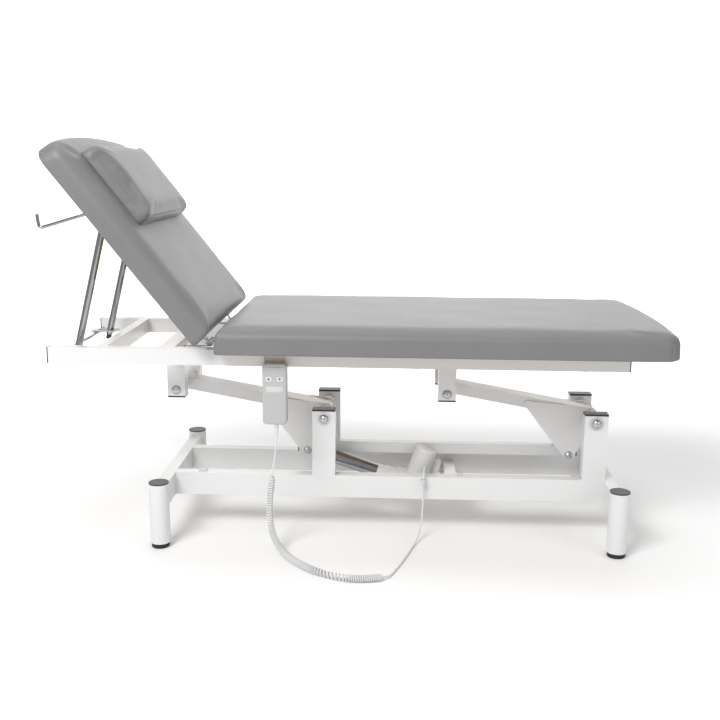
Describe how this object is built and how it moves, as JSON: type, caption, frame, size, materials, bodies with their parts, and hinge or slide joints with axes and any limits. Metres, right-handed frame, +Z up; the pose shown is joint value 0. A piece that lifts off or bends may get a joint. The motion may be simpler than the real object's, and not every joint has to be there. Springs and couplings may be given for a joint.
{
  "type": "facial treatment bed",
  "caption": "Padded treatment bed with a hinged raisable backrest, loose head pillow and a motorised parallel lift on a steel tube base with a wired handset.",
  "frame": {"origin": "centre of the bounding box at floor level", "axes": "+Z up, +X towards the foot end, backrest at -X, handset on the -Y side"},
  "size_m": [1.5709, 0.7525, 1.0261],
  "materials": {
    "white_steel": "white powder coat, satin",
    "black_plastic": "black moulded plastic",
    "black_rubber": "black rubber",
    "steel_pin": "turned steel",
    "chrome": "polished chrome",
    "bush_plastic": "nylon",
    "grey_vinyl": "mid-grey synthetic leather",
    "plywood": "plywood",
    "zinc_steel": "zinc plated",
    "light_plastic": "light grey moulded plastic",
    "circuit_board": "fibre board",
    "cord_plastic": "light grey cord sheath"
  },
  "bodies": {
    "base": {"leg_tubes": "white_steel", "leg_caps": "black_plastic", "rubber_feet": "black_rubber", "cross_beams": "white_steel", "base_rails": "white_steel", "pivot_posts": "white_steel", "post_caps": "black_plastic", "arm_pivot_pins": "white_steel", "actuator_anchor_bracket": "white_steel", "actuator_anchor_pin": "steel_pin", "rail_clips": "black_plastic", "cord_top": "cord_plastic", "cord_curl": "cord_plastic", "cord_lead": "cord_plastic", "cord_motor": "cord_plastic", "cord_connector": "cord_plastic"},
    "head_arm": {"head_arm_tube": "white_steel", "head_arm_sleeves": "white_steel", "head_arm_bushes": "bush_plastic", "head_arm_gussets": "white_steel", "head_link_pin": "white_steel"},
    "foot_arm": {"foot_arm_tube": "white_steel", "foot_arm_sleeves": "white_steel", "foot_arm_bushes": "bush_plastic", "foot_arm_gussets": "white_steel", "foot_link_pin": "white_steel"},
    "link_bar": {"link_bar": "white_steel", "link_bar_caps": "black_plastic"},
    "actuator_body": {"actuator_tube": "chrome", "gearbox_housing": "light_plastic", "motor_can": "light_plastic", "motor_cable_gland": "black_plastic"},
    "actuator_rod": {"actuator_rod": "steel_pin"},
    "upper_frame": {"side_rails": "white_steel", "seat_bolts": "zinc_steel", "side_rail_caps": "black_plastic", "cross_members": "white_steel", "head_cross_rod": "white_steel", "hanging_brackets": "white_steel", "bracket_caps": "black_plastic", "bracket_pins": "white_steel", "seat_cushion": "grey_vinyl", "seat_board": "plywood", "hinge_lower_leaves": "zinc_steel", "strut_guides": "white_steel", "handset_front_shell": "light_plastic", "handset_back_shell": "light_plastic", "handset_circuit_board": "circuit_board", "handset_hanger_wires": "white_steel", "cord_strain_relief": "cord_plastic"},
    "backrest": {"backrest_cushion": "grey_vinyl", "backrest_board": "plywood", "hinge_upper_leaves": "zinc_steel", "pillow": "grey_vinyl", "paper_roll_hooks": "chrome", "strut_clevises": "zinc_steel"},
    "back_struts": {"back_struts": "chrome", "strut_stops": "black_plastic"},
    "button_up": {"button_up": "light_plastic"},
    "button_down": {"button_down": "light_plastic"}
  },
  "joints": [
    {"name": "lift", "type": "hinge", "parent": "base", "child": "head_arm", "pos_m": [-0.084, 0, 0.309], "axis": [0, 1, 0], "range_deg": [0, 49]},
    {"name": "foot_arm_turn", "type": "hinge", "parent": "base", "child": "foot_arm", "pos_m": [0.617, 0, 0.309], "axis": [0, 1, 0], "range_deg": [-1, 50]},
    {"name": "link_turn", "type": "hinge", "parent": "head_arm", "child": "link_bar", "pos_m": [-0.134, 0, 0.196], "axis": [0, 1, 0], "range_deg": [-50, 1]},
    {"name": "frame_level", "type": "hinge", "parent": "head_arm", "child": "upper_frame", "pos_m": [-0.468, 0, 0.378], "axis": [0, 1, 0], "range_deg": [-50, 1]},
    {"name": "actuator_swing", "type": "hinge", "parent": "base", "child": "actuator_body", "pos_m": [0.219, 0, 0.08], "axis": [0, 1, 0], "range_deg": [-1, 7]},
    {"name": "actuator_rod_swing", "type": "hinge", "parent": "head_arm", "child": "actuator_rod", "pos_m": [-0.134, 0, 0.196], "axis": [0, 1, 0], "range_deg": [-45, 1]},
    {"name": "backrest_recline", "type": "hinge", "parent": "upper_frame", "child": "backrest", "pos_m": [-0.362, 0, 0.518], "axis": [0, 1, 0], "range_deg": [-41, 0]},
    {"name": "strut_swing", "type": "hinge", "parent": "backrest", "child": "back_struts", "pos_m": [-0.6327, 0, 0.8], "axis": [0, 1, 0], "range_deg": [-1, 13.5]},
    {"name": "button_up_press", "type": "slide", "parent": "upper_frame", "child": "button_up", "axis": [0, 1, 0], "range_m": [0, 0.0012], "stiffness_N_per_m": 900},
    {"name": "button_down_press", "type": "slide", "parent": "upper_frame", "child": "button_down", "axis": [0, 1, 0], "range_m": [0, 0.0012], "stiffness_N_per_m": 900}
  ],
  "couplings": [
    {"joint": "foot_arm_turn", "follows": "lift", "ratio": 1},
    {"joint": "link_turn", "follows": "lift", "ratio": -1},
    {"joint": "frame_level", "follows": "lift", "ratio": -1},
    {"joint": "actuator_swing", "follows": "lift", "ratio": 0.1175},
    {"joint": "actuator_rod_swing", "follows": "lift", "ratio": -0.8825},
    {"joint": "strut_swing", "follows": "backrest_recline", "ratio": -0.3}
  ]
}
